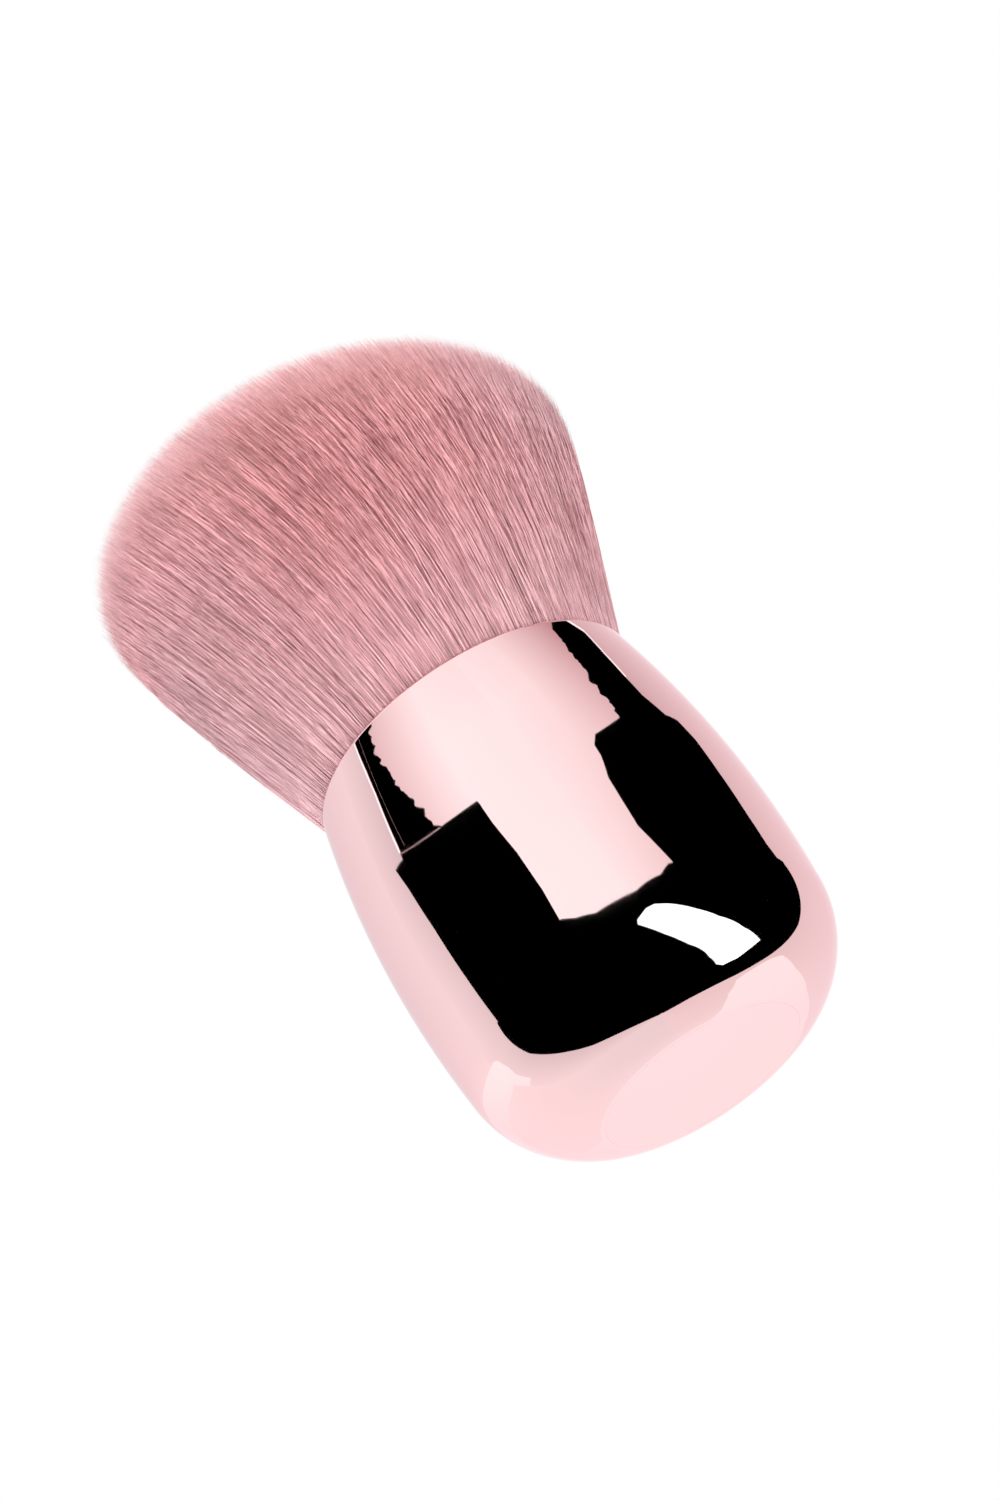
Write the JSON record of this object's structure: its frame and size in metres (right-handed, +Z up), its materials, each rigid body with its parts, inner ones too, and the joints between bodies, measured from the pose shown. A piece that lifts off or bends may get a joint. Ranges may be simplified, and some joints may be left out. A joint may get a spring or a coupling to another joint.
{
  "type": "powder brush",
  "caption": "Short round powder brush with a flared, domed tuft of soft bristles in a rounded mirror-finish handle that stands upright on its flat foot.",
  "frame": {"origin": "centre of the flat foot, on the surface that the brush stands on", "axes": "+Z up along the brush's axis from the foot to the tips of the tuft; +X and +Y are free, because the brush is a turned form"},
  "size_m": [0.0462, 0.0462, 0.0758],
  "materials": {
    "plated_shell": "mirror-polished pale rose metal plating on moulded plastic",
    "plated_cap": "mirror-polished pale rose metal plating, faint turned brushing",
    "adhesive": "off-white double-sided foam adhesive",
    "weight_steel": "turned steel, light oil film",
    "carrier_plastic": "natural moulded plastic",
    "cup_metal": "drawn aluminium, satin",
    "resin": "amber cast resin",
    "band_plastic": "moulded white plastic",
    "bristles": "soft dusty-pink synthetic fibre with tapered tips"
  },
  "bodies": {
    "root": {"handle_shell": "plated_shell", "base_cap": "plated_cap", "base_pad": "adhesive", "weight_slug": "weight_steel", "weight_carrier": "carrier_plastic", "ferrule_cup": "cup_metal", "root_resin": "resin", "tie_band": "band_plastic", "bristle_tuft": "bristles"}
  },
  "joints": []
}
